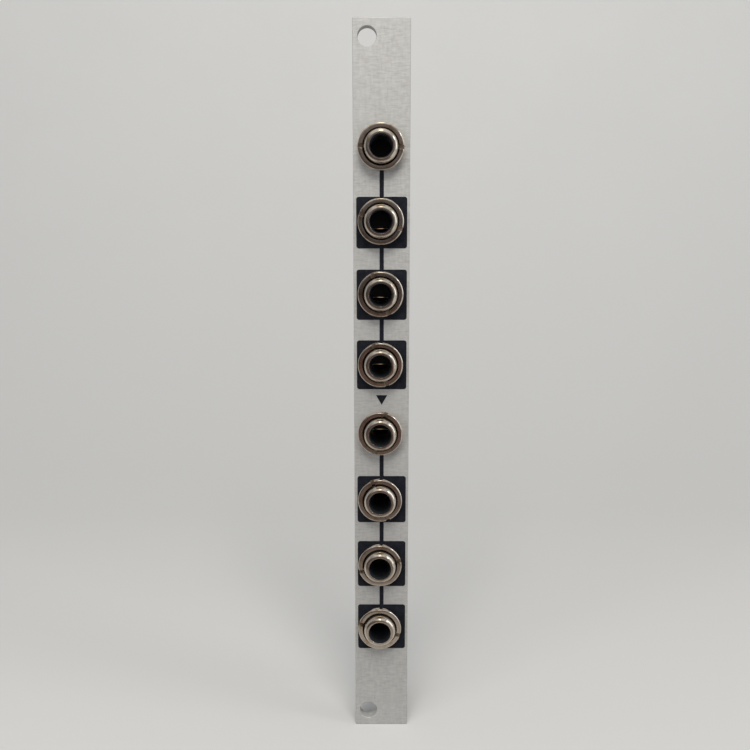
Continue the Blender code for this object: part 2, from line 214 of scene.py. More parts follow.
# Backdrop
SWEEP_REACH = 900 * MM
SWEEP_BACK = 420 * MM
SWEEP_BEND = 300 * MM
SWEEP_TOP = 900 * MM
SWEEP_STEPS = 12
SWEEP_FADE = 300 * MM  # height over which the floor's tone passes into the wall's

# Glowing cards that paint reflections of a dim room into the metal, seen only in reflections. Their places
# are millimetres
ROOM_LEFT = -250
ROOM_RIGHT = 110
ROOM_FLOOR = -2.9
ROOM_TOP = 300
FRONT_REFLECTION_GLOW = (  # y, z and tone from edge to edge of the card in front
    (-14, ROOM_FLOOR, (0.6, 0.575, 0.55)),
    (-45, ROOM_FLOOR, (0.6, 0.57, 0.545)),
    (-84, -2.6, (0.33, 0.265, 0.245)),
    (-141, -2, (0.25, 0.165, 0.145)),
    (-237, 6, (0.24, 0.125, 0.095)),
    (-320, 14, (0.39, 0.265, 0.235)),
    (-330, 54, (0.17, 0.15, 0.145)),
    (-330, 92, (0.27, 0.27, 0.28)),
    (-330, 134, (0.43, 0.39, 0.38)),
    (-330, 230, (0.5, 0.48, 0.46)),
)
LEFT_REFLECTION_GLOW = (  # y and tone from edge to edge of the card on the left
    (-330, (0.17, 0.155, 0.147)),
    (-150, (0.18, 0.168, 0.16)),
    (-60, (0.22, 0.215, 0.21)),
)
ROOM_TONE = (0.40, 0.405, 0.415)
HORIZON_TONE = (0.60, 0.60, 0.595)  # what the camera sees past the backdrop

# Lamps
WARM = (1.0, 0.96, 0.89)
NEUTRAL = (0.97, 0.99, 1.0)
GOLDEN = (1.0, 0.94, 0.8)
LAMPS = {  # place and size in millimetres, watts and colour
    "ceiling_light": ((10, -430, 620), (440, 300), 5.4, WARM),
    "window_light": ((430, -150, 255), (150, 380), 0.6, NEUTRAL),
    "side_light": ((400, -20, 220), (300, 400), 0.5, NEUTRAL),
    "fill_light": ((-300, -330, 180), (200, 160), 0.6, NEUTRAL),
    "glint_light": ((0, -100, 420), (70, 850), 0.44, GOLDEN),
    "glow_light": ((0, -100, 420), (480, 850), 0.36, GOLDEN),
    "spark_light": ((330, -180, 330), (60, 60), 0.12, NEUTRAL),
    "lip_light": ((-50, -300, 60), (360, 260), 0.125, GOLDEN),
}
STRAIGHT_DOWN = ("glint_light", "glow_light")
METAL_LAMPS = ("glint_light", "glow_light", "spark_light", "side_light")
LIP_LAMPS = ("lip_light",)


# Helpers for meshes

def jack_axis(number):
    """(x, z) of a socket's axis."""
    low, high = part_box(f"jack_{number}_bushing")
    return (low.x + high.x) / 2, (low.z + high.z) / 2


def softened(corners, steps=ARC_STEPS):
    """Closed outline through corners of (u, v, radius), each rounded to its own radius."""
    points = []
    count = len(corners)
    for index, (u, v, radius) in enumerate(corners):
        here = Vector((u, v))
        if radius == 0:
            points.append((u, v))
            continue
        to_last = (Vector(corners[index - 1][:2]) - here).normalized()
        to_next = (Vector(corners[(index + 1) % count][:2]) - here).normalized()
        half = to_last.angle(to_next) / 2
        centre = here + (to_last + to_next).normalized() * radius / math.sin(half)
        start = here + to_last * radius / math.tan(half) - centre
        turn = math.pi - 2 * half
        side = 1 if to_last.x * to_next.y - to_last.y * to_next.x < 0 else -1
        for step in range(steps + 1):
            spot = centre + Matrix.Rotation(side * turn * step / steps, 2) @ start
            points.append((spot.x, spot.y))
    return points


def circle(radius, centre=(0, 0), sides=ROUND_SIDES):
    """Outline of a round hole or disc."""
    angles = [2 * math.pi * step / sides for step in range(sides)]
    return [(centre[0] + radius * math.cos(a), centre[1] + radius * math.sin(a)) for a in angles]


def rounded_rectangle(low, high, corner):
    """Outline between two opposite corners, with its corners rounded."""
    corners = [(low[0], low[1]), (high[0], low[1]), (high[0], high[1]), (low[0], high[1])]
    return softened([(u, v, corner) for u, v in corners])


def smooth(mesh):
    """Smooth shading that stays sharp along edges over SMOOTH_ANGLE."""
    mesh.shade_smooth()
    mesh.set_sharp_from_angle(angle=SMOOTH_ANGLE)


def new_object(name, data):
    """Object with this data, linked to the scene."""
    obj = bpy.data.objects.new(name, data)
    bpy.context.scene.collection.objects.link(obj)
    return obj


def new_piece(name, mesh, material, location=(0, 0, 0), turn=0):
    """Object of this mesh at its place, turned about its Y axis."""
    piece = new_object(name, mesh)
    piece.location = location
    piece.rotation_euler.y = turn
    if not mesh.materials:
        mesh.materials.append(material)
    return piece


def mesh_from(bm, name):
    """Mesh of a bmesh, with its normals outward. The bmesh is freed."""
    bmesh.ops.recalc_face_normals(bm, faces=bm.faces)
    mesh = bpy.data.meshes.new(name)
    bm.to_mesh(mesh)
    bm.free()
    return mesh


def evaluated_mesh(obj):
    """Mesh of an object with its modifiers applied. The object is removed."""
    bpy.context.view_layer.update()
    graph = bpy.context.evaluated_depsgraph_get()
    mesh = bpy.data.meshes.new_from_object(obj.evaluated_get(graph))
    mesh.transform(obj.matrix_world)
    bpy.data.objects.remove(obj)
    return mesh


def plate_mesh(name, outlines, front, rear, edge=0):
    """Plate between two depths from outlines of (x, z) points. The first is its edge, the rest are holes."""
    curve = bpy.data.curves.new(name, "CURVE")
    curve.dimensions = "2D"
    curve.fill_mode = "BOTH"
    curve.extrude = (rear - front) / 2 - edge
    curve.bevel_depth = edge
    curve.bevel_resolution = PLATE_EDGE_STEPS
    curve.offset = -edge
    for outline in outlines:
        spline = curve.splines.new("POLY")
        spline.points.add(len(outline) - 1)
        for point, (x, z) in zip(spline.points, outline):
            point.co = (x, z, 0, 1)
        spline.use_cyclic_u = True
    obj = new_object(name, curve)
    obj.rotation_euler.x = math.pi / 2
    obj.location.y = (front + rear) / 2
    bm = bmesh.new()
    bm.from_mesh(evaluated_mesh(obj))
    bmesh.ops.remove_doubles(bm, verts=bm.verts, dist=MERGE_DISTANCE)
    mesh = mesh_from(bm, name)
    smooth(mesh)
    crease_flat_faces(mesh)
    return mesh


def crease_flat_faces(mesh):
    """Sharp edges where a face square to Y meets any other, so that the flat stays flat in the light."""
    meeting = {}
    for face in mesh.polygons:
        flat = abs(face.normal.y) > FLAT_LIMIT
        for key in face.edge_keys:
            meeting.setdefault(key, set()).add(flat)
    for edge in mesh.edges:
        if len(meeting[edge.key]) > 1:
            edge.use_edge_sharp = True


def add_tube(bm, rings, closed=False):
    """Faces between neighbouring rings of vertices. The ends are capped, or meet where it is closed."""
    followers = rings[1:] + rings[:1] if closed else rings[1:]
    for ring, other in zip(rings, followers):
        for index, vertex in enumerate(ring):
            following = (index + 1) % len(ring)
            bm.faces.new((vertex, ring[following], other[following], other[index]))
    if not closed:
        bm.faces.new(rings[0])
        bm.faces.new(rings[-1])


def revolved(name, profile, thread=None):
    """Closed profile of (radius, y) points turned about Y. A thread gives a change of radius at a place."""
    bm = bmesh.new()
    rings = []
    for step in range(ROUND_SIDES):
        turn = step / ROUND_SIDES
        angle = 2 * math.pi * turn
        ring = []
        for radius, y in profile:
            if thread:
                radius += thread(radius, y, turn)
            ring.append(bm.verts.new((radius * math.cos(angle), y, radius * math.sin(angle))))
        rings.append(ring)
    add_tube(bm, rings, closed=True)
    return mesh_from(bm, name)


def add_box(bm, low, high):
    """Box between two opposite corners."""
    low, high = Vector(low), Vector(high)
    place = Matrix.Translation((low + high) / 2) @ Matrix.Diagonal((*(high - low), 1))
    bmesh.ops.create_cube(bm, size=1, matrix=place)


def scratch_object(name, fill, *args):
    """Temporary object whose mesh a function fills."""
    bm = bmesh.new()
    fill(bm, *args)
    return new_object(name, mesh_from(bm, name))


def combined(base, tools):
    """Mesh of a base object with (operation, object) pairs applied to it in turn, and the tools removed."""
    for operation, tool in tools:
        modifier = base.modifiers.new(tool.name, "BOOLEAN")
        modifier.operation = operation
        modifier.solver = "EXACT"
        modifier.object = tool
    mesh = evaluated_mesh(base)
    for _, tool in tools:
        bpy.data.objects.remove(tool)
    return mesh


def edges_broken(mesh, width, segments=EDGE_STEPS, angle=SMOOTH_ANGLE):
    """The same mesh with small rounds on its sharp edges."""
    obj = new_object(mesh.name, mesh)
    modifier = obj.modifiers.new("edges", "BEVEL")
    modifier.width = width
    modifier.segments = segments
    modifier.limit_method = "ANGLE"
    modifier.angle_limit = angle
    return evaluated_mesh(obj)


def level_faces(piece):
    """Keep flat faces looking flat beside their rounded edges."""
    modifier = piece.modifiers.new("level_faces", "WEIGHTED_NORMAL")
    modifier.keep_sharp = True


# Shared shader groups

VECTOR = "NodeSocketVector"
FLOAT = "NodeSocketFloat"


def input_of(made, key):
    """Input of a node by its place, as i0 for the first, or by its name with _ for each space."""
    if key[0] == "i" and key[1:].isdigit():
        return made.inputs[int(key[1:])]
    return made.inputs[key.replace("_", " ")]


def node(tree, kind, settings=None, **links):
    """New shader node. Settings are its properties, links its inputs: values or other nodes' sockets."""
    made = tree.nodes.new("ShaderNode" + kind)
    for key, value in (settings or {}).items():
        setattr(made, key, value)
    for key, value in links.items():
        socket = input_of(made, key)
        if isinstance(value, bpy.types.NodeSocket):
            tree.links.new(value, socket)
        else:
            socket.default_value = value
    return made


def math_node(tree, operation, first, second=0.0):
    """Result of a Math node on two values or sockets."""
    return node(tree, "Math", {"operation": operation}, i0=first, i1=second).outputs[0]


def new_group(name, inputs):
    """Empty shader group that takes a place and (name, type, default) inputs and puts out a mask."""
    group = bpy.data.node_groups.new(name, "ShaderNodeTree")
    group.interface.new_socket(name="Vector", in_out="INPUT", socket_type=VECTOR)
    for label, kind, default in inputs:
        group.interface.new_socket(name=label, in_out="INPUT", socket_type=kind).default_value = default
    group.interface.new_socket(name="Mask", in_out="OUTPUT", socket_type=FLOAT)
    return group, group.nodes.new("NodeGroupInput"), group.nodes.new("NodeGroupOutput")


def in_millimetres(group, source):
    """The place that a group takes, in millimetres."""
    parts = {"i0": source.outputs["Vector"], "i1": (MM, MM, MM)}
    return node(group, "VectorMath", {"operation": "DIVIDE"}, **parts).outputs[0]


def streak_group():
    """Streaks of a given size along each axis, as brushing or rolling leaves them."""
    group, source, result = new_group("streaks", [("Size", VECTOR, (3 * MM, 0.1 * MM, 0.1 * MM))])
    parts = {"i0": source.outputs["Vector"], "i1": source.outputs["Size"]}
    place = node(group, "VectorMath", {"operation": "DIVIDE"}, **parts)
    grain = node(group, "TexNoise", Vector=place.outputs[0], Scale=1.0, Detail=3.0, Roughness=0.65)
    spread = node(group, "MapRange", Value=grain.outputs[0], From_Min=0.3, From_Max=0.7)
    group.links.new(spread.outputs[0], result.inputs["Mask"])
    return group


def turning_group():
    """Fine rings about Y, as a lathe tool leaves them, that fade in and out along their turn."""
    group, source, result = new_group("turning_marks", [("Pitch", FLOAT, 0.05 * MM)])
    parts = node(group, "SeparateXYZ", Vector=source.outputs["Vector"])
    flat = node(group, "CombineXYZ", X=parts.outputs["X"], Z=parts.outputs["Z"])
    radius = node(group, "VectorMath", {"operation": "LENGTH"}, i0=flat.outputs[0])
    rings = math_node(group, "DIVIDE", radius.outputs["Value"], source.outputs["Pitch"])
    depth = math_node(group, "DIVIDE", parts.outputs["Y"], source.outputs["Pitch"])
    turn = math_node(group, "ARCTAN2", parts.outputs["Z"], parts.outputs["X"])
    wrapped = math_node(group, "ABSOLUTE", turn)
    place = node(group, "CombineXYZ", X=rings, Y=depth, Z=wrapped)
    marks = node(group, "TexNoise", Vector=place.outputs[0], Scale=1.0, Detail=2.0, Roughness=0.6)
    spread = node(group, "MapRange", Value=marks.outputs[0], From_Min=0.32, From_Max=0.68)
    group.links.new(spread.outputs[0], result.inputs["Mask"])
    return group


def patch_group():
    """Soft uneven patches, for tarnish, dust and handling."""
    inputs = [("Size", FLOAT, 2 * MM), ("Threshold", FLOAT, 0.5), ("Softness", FLOAT, 0.15)]
    group, source, result = new_group("patches", inputs)
    place = in_millimetres(group, source)
    scale = math_node(group, "DIVIDE", MM, source.outputs["Size"])
    cloud = node(group, "TexNoise", Vector=place, Scale=scale, Detail=4.0, Roughness=0.6)
    low = math_node(group, "SUBTRACT", source.outputs["Threshold"], source.outputs["Softness"])
    high = math_node(group, "ADD", source.outputs["Threshold"], source.outputs["Softness"])
    edge = node(group, "MapRange", {"interpolation_type": "SMOOTHSTEP"},
                Value=cloud.outputs[0], From_Min=low, From_Max=high)
    group.links.new(edge.outputs[0], result.inputs["Mask"])
    return group


def grit_group():
    """Small raised or sunken spots, for a moulded grain, ink pinholes and dust."""
    group, source, result = new_group("grit", [("Spacing", FLOAT, 0.2 * MM), ("Share", FLOAT, 0.2)])
    place = in_millimetres(group, source)
    scale = math_node(group, "DIVIDE", MM, source.outputs["Spacing"])
    cells = node(group, "TexVoronoi", Vector=place, Scale=scale)
    spots = node(group, "MapRange", {"interpolation_type": "SMOOTHSTEP"},
                 Value=cells.outputs["Distance"], From_Max=source.outputs["Share"], To_Min=1.0, To_Max=0.0)
    group.links.new(spots.outputs[0], result.inputs["Mask"])
    return group


GROUPS = {
    "streaks": streak_group(),
    "turning": turning_group(),
    "patches": patch_group(),
    "grit": grit_group(),
}


# Materials

class Finish:
    """A material with a Principled shader, and short ways to feed it."""

    def __init__(self, name, roughness, metallic=0.0):
        self.material = bpy.data.materials.new(name)
        self.material.use_nodes = True
        self.tree = self.material.node_tree
        self.shader = self.tree.nodes["Principled BSDF"]
        self.shader.inputs["Roughness"].default_value = roughness
        self.shader.inputs["Metallic"].default_value = metallic
        self.place = self.tree.nodes.new("ShaderNodeTexCoord").outputs["Object"]

    def mask(self, kind, **values):
        """Mask of a shared group on the piece's own coordinates."""
        made = self.tree.nodes.new("ShaderNodeGroup")
        made.node_tree = GROUPS[kind]
        self.tree.links.new(self.place, made.inputs["Vector"])
        for key, value in values.items():
            made.inputs[key].default_value = value
        return made.outputs["Mask"]

    def mixed(self, factor, first, second):
        """Colour between two, as a mask goes from 0 to 1."""
        first, second = [v if isinstance(v, bpy.types.NodeSocket) else (*v, 1) for v in (first, second)]
        made = node(self.tree, "Mix", {"data_type": "RGBA"}, i0=factor, i6=first, i7=second)
        return made.outputs[2]

    def between(self, factor, low, high):
        """Value between two, as a mask goes from 0 to 1."""
        return node(self.tree, "MapRange", Value=factor, To_Min=low, To_Max=high).outputs[0]

    def blended(self, first, second, share):
        """Weighted sum of two masks."""
        made = node(self.tree, "Mix", {"data_type": "FLOAT"}, i0=share, i2=first, i3=second)
        return made.outputs[0]

    def feed(self, color, roughness=None, height=None, relief=0.0):
        """The material, with a colour and, where given, a roughness and a relief this deep."""
        self.tree.links.new(color, self.shader.inputs["Base Color"])
        if roughness is not None:
            self.tree.links.new(roughness, self.shader.inputs["Roughness"])
        if height is not None:
            bump = node(self.tree, "Bump", Strength=1.0, Distance=relief, Height=height)
            self.tree.links.new(bump.outputs[0], self.shader.inputs["Normal"])
        return self.material


def brushed_aluminium():
    finish = Finish("brushed_aluminium", 0.66, metallic=0.6)
    fine = finish.mask("streaks", Size=(2.6 * MM, 0.11 * MM, 0.11 * MM))
    broad = finish.mask("streaks", Size=(1.4 * MM, 0.34 * MM, 0.34 * MM))
    cross = finish.mask("streaks", Size=(0.42 * MM, 0.42 * MM, 1.8 * MM))
    drift = finish.mask("patches", Size=14 * MM, Threshold=0.5, Softness=0.3)
    grain = finish.blended(finish.blended(fine, broad, 0.6), cross, 0.28)
    brushed = finish.mixed(grain, (0.28, 0.278, 0.272), (0.50, 0.498, 0.488))
    color = finish.mixed(finish.between(drift, 0, 0.5), brushed, (0.40, 0.398, 0.39))
    return finish.feed(color, finish.between(grain, 0.74, 0.58), grain, 0.008 * MM)


def printed_ink():
    finish = Finish("printed_ink", 0.55)
    finish.shader.inputs["Specular IOR Level"].default_value = 0.06
    grain = finish.mask("streaks", Size=(2.6 * MM, 0.11 * MM, 0.11 * MM))
    specks = finish.mask("grit", Spacing=0.42 * MM, Share=0.22)
    wear = finish.mask("patches", Size=1.1 * MM, Threshold=0.5, Softness=0.25)
    body = finish.mixed(wear, (0.006, 0.007, 0.010), (0.012, 0.013, 0.018))
    color = finish.mixed(specks, body, (0.035, 0.036, 0.042))
    return finish.feed(color, finish.between(grain, 0.5, 0.65), grain, 0.003 * MM)


def turned_nickel(name, pitch, relief, tarnish):
    """Bright plating over the rings of a lathe tool, stained where the tarnish mask passes its threshold."""
    finish = Finish(name, 0.2, metallic=1.0)
    marks = finish.mask("turning", Pitch=pitch)
    stain = finish.mask("patches", Size=1.6 * MM, Threshold=tarnish, Softness=0.12)
    plated = finish.mixed(marks, (0.50, 0.44, 0.37), (0.72, 0.66, 0.58))
    color = finish.mixed(stain, plated, (0.40, 0.31, 0.23))
    return finish.feed(color, finish.between(marks, 0.26, 0.13), marks, relief)


def milled_nickel():
    """Duller plating on the rough floor and walls that a slotting cutter leaves."""
    finish = Finish("milled_nickel", 0.42, metallic=0.75)
    ridges = finish.mask("streaks", Size=(0.05 * MM, 1.0 * MM, 0.6 * MM))
    stain = finish.mask("patches", Size=0.7 * MM, Threshold=0.5, Softness=0.2)
    cut = finish.mixed(ridges, (0.30, 0.23, 0.165), (0.68, 0.60, 0.48))
    color = finish.mixed(finish.between(stain, 0, 0.7), cut, (0.20, 0.13, 0.09))
    return finish.feed(color, finish.between(ridges, 0.5, 0.36), ridges, 0.004 * MM)


def painted_shade_nickel(name, deep, paler_shade):
    """Dark dull nickel with painted shade: the shade in a bore, or in a thread's grooves."""
    finish = Finish(name, 0.5, metallic=0.5)
    rings = finish.mask("turning", Pitch=0.12 * MM)
    color = finish.mixed(rings, deep, paler_shade)
    return finish.feed(color, finish.between(rings, 0.55, 0.42), rings, 0.002 * MM)


def moulded_plastic():
    finish = Finish("moulded_plastic", 0.45)
    grain = finish.mask("grit", Spacing=0.16 * MM, Share=0.6)
    flow = finish.mask("patches", Size=3.5 * MM, Threshold=0.5, Softness=0.3)
    dust = finish.mask("grit", Spacing=0.9 * MM, Share=0.06)
    body = finish.mixed(flow, (0.020, 0.020, 0.022), (0.030, 0.030, 0.032))
    color = finish.mixed(dust, body, (0.12, 0.12, 0.11))
    return finish.feed(color, finish.between(flow, 0.36, 0.52), grain, 0.006 * MM)


def rolled_sheet(name, bright, dull, low, high):
    """Sheet metal with the fine streaks of rolling, whose roughness goes from low to high."""
    finish = Finish(name, low, metallic=1.0)
    grain = finish.mask("streaks", Size=(1.8 * MM, 0.06 * MM, 0.06 * MM))
    stain = finish.mask("patches", Size=1.3 * MM, Threshold=0.56, Softness=0.16)
    color = finish.mixed(stain, bright, dull)
    return finish.feed(color, finish.between(grain, low, high), grain, 0.0015 * MM)


def bright_solder():
    finish = Finish("bright_solder", 0.25, metallic=1.0)
    frost = finish.mask("patches", Size=0.7 * MM, Threshold=0.52, Softness=0.2)
    flux = finish.mask("patches", Size=1.9 * MM, Threshold=0.66, Softness=0.08)
    metal = finish.mixed(frost, (0.70, 0.70, 0.68), (0.58, 0.58, 0.57))
    color = finish.mixed(flux, metal, (0.42, 0.36, 0.25))
    return finish.feed(color, finish.between(frost, 0.16, 0.38), frost, 0.01 * MM)


def tinned_pad():
    finish = Finish("tinned_pad", 0.3, metallic=1.0)
    uneven = finish.mask("patches", Size=0.5 * MM, Threshold=0.5, Softness=0.3)
    color = finish.mixed(uneven, (0.66, 0.66, 0.64), (0.56, 0.56, 0.54))
    return finish.feed(color, finish.between(uneven, 0.22, 0.4), uneven, 0.006 * MM)


def solder_mask(name, deep, light):
    """Glossy green lacquer over the weave of the laminate."""
    finish = Finish(name, 0.3)
    finish.shader.inputs["Coat Weight"].default_value = 0.35
    finish.shader.inputs["Coat Roughness"].default_value = 0.12
    across = finish.mask("streaks", Size=(0.9 * MM, 0.42 * MM, 0.42 * MM))
    cloud = finish.mask("patches", Size=5 * MM, Threshold=0.5, Softness=0.35)
    dust = finish.mask("grit", Spacing=1.3 * MM, Share=0.05)
    body = finish.mixed(finish.blended(across, cloud, 0.6), deep, light)
    color = finish.mixed(dust, body, (0.16, 0.2, 0.16))
    return finish.feed(color, finish.between(cloud, 0.26, 0.38), across, 0.004 * MM)


def sawn_laminate():
    finish = Finish("sawn_laminate", 0.7)
    layers = finish.mask("streaks", Size=(1.5 * MM, 0.12 * MM, 0.12 * MM))
    color = finish.mixed(layers, (0.26, 0.27, 0.13), (0.47, 0.46, 0.30))
    return finish.feed(color, finish.between(layers, 0.6, 0.8), layers, 0.02 * MM)


def sweep_paper():
    """Pale paper, a little darker on the floor than on the wall."""
    finish = Finish("sweep_paper", 0.85)
    cloud = finish.mask("patches", Size=60 * MM, Threshold=0.5, Softness=0.4)
    height = node(finish.tree, "SeparateXYZ", Vector=finish.place).outputs["Z"]
    rise = node(finish.tree, "MapRange", Value=height, From_Max=SWEEP_FADE).outputs[0]
    wall = finish.mixed(cloud, (0.585, 0.588, 0.588), (0.615, 0.618, 0.618))
    return finish.feed(finish.mixed(rise, (0.465, 0.467, 0.467), wall))


ALUMINIUM = brushed_aluminium()
INK = printed_ink()
NUT_NICKEL = turned_nickel("nut_nickel", 0.045 * MM, 0.0012 * MM, 0.60)
BUSHING_NICKEL = turned_nickel("bushing_nickel", 0.03 * MM, 0.0006 * MM, 0.64)
MILLED_NICKEL = milled_nickel()
NUT_METALS = (NUT_NICKEL, MILLED_NICKEL)
# Painted shade: the bore's plating is darkened to the bluish black of a bore in shade.
BORE_PAINTED_SHADE = painted_shade_nickel("bore_nickel", (0.045, 0.05, 0.062), (0.08, 0.088, 0.105))
# Painted shade: the thread is darkened so that the gap between nut and bushing shows as a dark ring.
THREAD_PAINTED_SHADE = painted_shade_nickel("thread_nickel", (0.05, 0.038, 0.028), (0.10, 0.08, 0.062))
BUSHING_METALS = (BUSHING_NICKEL, BORE_PAINTED_SHADE, THREAD_PAINTED_SHADE)
PLASTIC = moulded_plastic()
LUG_NICKEL = rolled_sheet("lug_nickel", (0.64, 0.60, 0.53), (0.44, 0.38, 0.30), 0.2, 0.36)
TINNED = rolled_sheet("tinned_contact", (0.66, 0.65, 0.62), (0.48, 0.46, 0.42), 0.24, 0.42)
# Painted shade: the tip spring's bronze is darkened nearly to black, as it looks in the shade inside the
# socket body.
BRONZE = rolled_sheet("spring_bronze", (0.16, 0.085, 0.05), (0.10, 0.055, 0.035), 0.3, 0.42)
# The lip keeps the bright colour of bronze where the plug rubs it.
RUBBED_BRONZE = rolled_sheet("rubbed_bronze", (0.98, 0.74, 0.54), (0.92, 0.62, 0.42), 0.1, 0.2)
SOLDER = bright_solder()
PAD = tinned_pad()
BOARD_MASK = solder_mask("board_mask", (0.012, 0.07, 0.03), (0.02, 0.11, 0.047))
TRACK_MASK = solder_mask("track_mask", (0.025, 0.13, 0.055), (0.035, 0.17, 0.07))
LAMINATE = sawn_laminate()


# Pieces in front of the panel

def panel_strip():
    """Aluminium strip with the sockets' holes and the two mounting holes."""
    half = PANEL_HIGH.x
    outlines = [rounded_rectangle((-half, PANEL_LOW.z), (half, PANEL_HIGH.z), PANEL_CORNER)]
    outlines += [circle(HOLE_RADIUS, jack_axis(number)) for number in JACKS]
    for z in (PANEL_LOW.z + RAIL_LINE_INSET, PANEL_HIGH.z - RAIL_LINE_INSET):
        outlines.append(circle(MOUNT_HOLE_RADIUS, (MOUNT_HOLE_INSET - half, z)))
    mesh = plate_mesh("panel_strip", outlines, PANEL_FRONT, PANEL_BACK, PANEL_EDGE)
    piece = new_piece("panel_strip", mesh, ALUMINIUM)
    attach(piece, "module")
    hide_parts("front_panel")


def printed_marks():
    """Squares round the outputs, the line that links each group, and the triangle between the groups."""
    front = PANEL_FRONT - INK_THICKNESS
    half = SQUARE_SIZE / 2
    shapes = []
    for number in JACKS:
        if number in FIRST_OF_GROUP:
            continue
        axis = jack_axis(number)
        middle = axis[1] - SQUARE_DROP
        low = (PRINT_X - half, middle - half)
        high = (PRINT_X + half, middle + half)
        shapes.append([rounded_rectangle(low, high, SQUARE_CORNER), circle(HOLE_RADIUS, axis)])
        above = jack_axis(number - 1)[1]
        start = above - LINE_START if number - 1 in FIRST_OF_GROUP else above - SQUARE_DROP - half
        line = ((PRINT_X - LINE_WIDTH / 2, middle + half), (PRINT_X + LINE_WIDTH / 2, start))
        shapes.append([rounded_rectangle(*line, 0)])
    top = jack_axis(FIRST_OF_GROUP[1] - 1)[1] - TRIANGLE_TOP
    reach = TRIANGLE_WIDTH / 2
    shapes.append([[(PRINT_X - reach, top), (PRINT_X, top - TRIANGLE_HEIGHT), (PRINT_X + reach, top)]])
    for index, outlines in enumerate(shapes):
        name = f"printed_mark_{index + 1}"
        piece = new_piece(name, plate_mesh(name, outlines, front, PANEL_FRONT), INK)
        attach(piece, "module")


def slot_cutter():
    """Bar along X whose faces leave the milled metal where they cut."""
    reach, half = NUT_RADIUS + OVERRUN, SLOT_WIDTH / 2
    low, high = (-reach, NUT_FRONT - OVERRUN, -half), (reach, NUT_FRONT + SLOT_DEPTH, half)
    cutter = scratch_object("slot_cutter", add_box, low, high)
    for material in NUT_METALS:
        cutter.data.materials.append(material)
    for face in cutter.data.polygons:
        face.material_index = NUT_METALS.index(MILLED_NICKEL)
    return cutter


def nut_mesh():
    """Round nut with a rounded rim, a narrower boss behind it, a wide mouth and one slot right across."""
    bore = THREAD_RADIUS + NUT_GAP
    rear = PANEL_FRONT - INK_THICKNESS
    profile = softened([
        (bore, rear, 0),
        (bore, NUT_FRONT + NUT_MOUTH_DEPTH, NUT_MOUTH_LIP),
        (bore + NUT_MOUTH, NUT_FRONT, NUT_MOUTH_LIP),
        (NUT_RADIUS, NUT_FRONT, NUT_ROUND),
        (NUT_RADIUS, NUT_FRONT + NUT_RIM, NUT_LIP),
        (NUT_BOSS_RADIUS, NUT_FRONT + NUT_RIM + NUT_RADIUS - NUT_BOSS_RADIUS, NUT_LIP),
        (NUT_BOSS_RADIUS, rear, 0),
    ], steps=TURNED_STEPS)
    nut = new_object("nut", revolved("nut", profile))
    for material in NUT_METALS:
        nut.data.materials.append(material)
    mesh = edges_broken(combined(nut, [("DIFFERENCE", slot_cutter())]), EDGE_BREAK)
    smooth(mesh)
    return mesh


def thread_change(radius, y, turn):
    """Change of radius at a place on the bushing's outside, where the turn is a share of a full one."""
    front = RIM_Y + NOSE_LENGTH + THREAD_LEAD
    rear = BUSHING_REAR - FLANGE_THICKNESS - THREAD_LEAD
    if radius < THREAD_RADIUS - THREAD_DEPTH or not front < y < rear:
        return 0
    wave = abs((y / THREAD_PITCH - turn) % 1 - 0.5) * 2
    fade = min(1, (y - front) / THREAD_PITCH, (rear - y) / THREAD_PITCH)
    return -THREAD_DEPTH * wave * fade


def bushing_mesh():
    """Threaded barrel with a long rounded nose, a chamfered bore and a flange behind."""
    flange_front = BUSHING_REAR - FLANGE_THICKNESS
    barrel_front = RIM_Y + NOSE_LENGTH
    rows = round((flange_front - barrel_front) / THREAD_PITCH * ROWS_PER_TURN)
    rise = (flange_front - barrel_front) / rows
    barrel = [(THREAD_RADIUS, barrel_front + rise * row, 0) for row in range(1, rows)]
    nose = []
    for step in range(NOSE_STEPS + 1):
        angle = math.pi / 2 * step / NOSE_STEPS
        radius = THREAD_RADIUS - NOSE_WIDTH * (1 - math.sin(angle))
        nose.append((radius, RIM_Y + NOSE_LENGTH * (1 - math.cos(angle)), 0))
    profile = softened([
        (BORE_RADIUS, BUSHING_REAR, 0),
        (BORE_RADIUS, RIM_Y + MOUTH_DEPTH, MOUTH_LIP),
        (MOUTH_RADIUS, RIM_Y, MOUTH_LIP),
        *nose,
        *barrel,
        (THREAD_RADIUS, flange_front, 0),
        (FLANGE_RADIUS, flange_front, FLANGE_ROUND),
        (FLANGE_RADIUS, BUSHING_REAR, FLANGE_ROUND),
    ], steps=TURNED_STEPS)
    mesh = revolved("threaded_bushing", profile, thread=thread_change)
    for material in BUSHING_METALS:
        mesh.materials.append(material)
    # Faces in the bore and along the thread take the nickel with painted shade.
    for face in mesh.polygons:
        middle = face.center
        if math.hypot(middle.x, middle.z) < (BORE_RADIUS + MOUTH_RADIUS) / 2:
            face.material_index = BUSHING_METALS.index(BORE_PAINTED_SHADE)
        elif barrel_front < middle.y < flange_front:
            face.material_index = BUSHING_METALS.index(THREAD_PAINTED_SHADE)
    smooth(mesh)
    return mesh


# Pieces behind the panel

def add_rod(bm, radius, front, rear):
    """Rod about Y between two depths."""
    place = Matrix.Translation((0, (front + rear) / 2, 0)) @ Matrix.Rotation(math.pi / 2, 4, "X")
    size = {"radius1": radius, "radius2": radius, "depth": rear - front}
    bmesh.ops.create_cone(bm, cap_ends=True, segments=SMALL_SIDES, matrix=place, **size)


def box_tool(operation, name, low, high):
    """Box as a tool of combined()."""
    return operation, scratch_object(name, add_box, low, high)


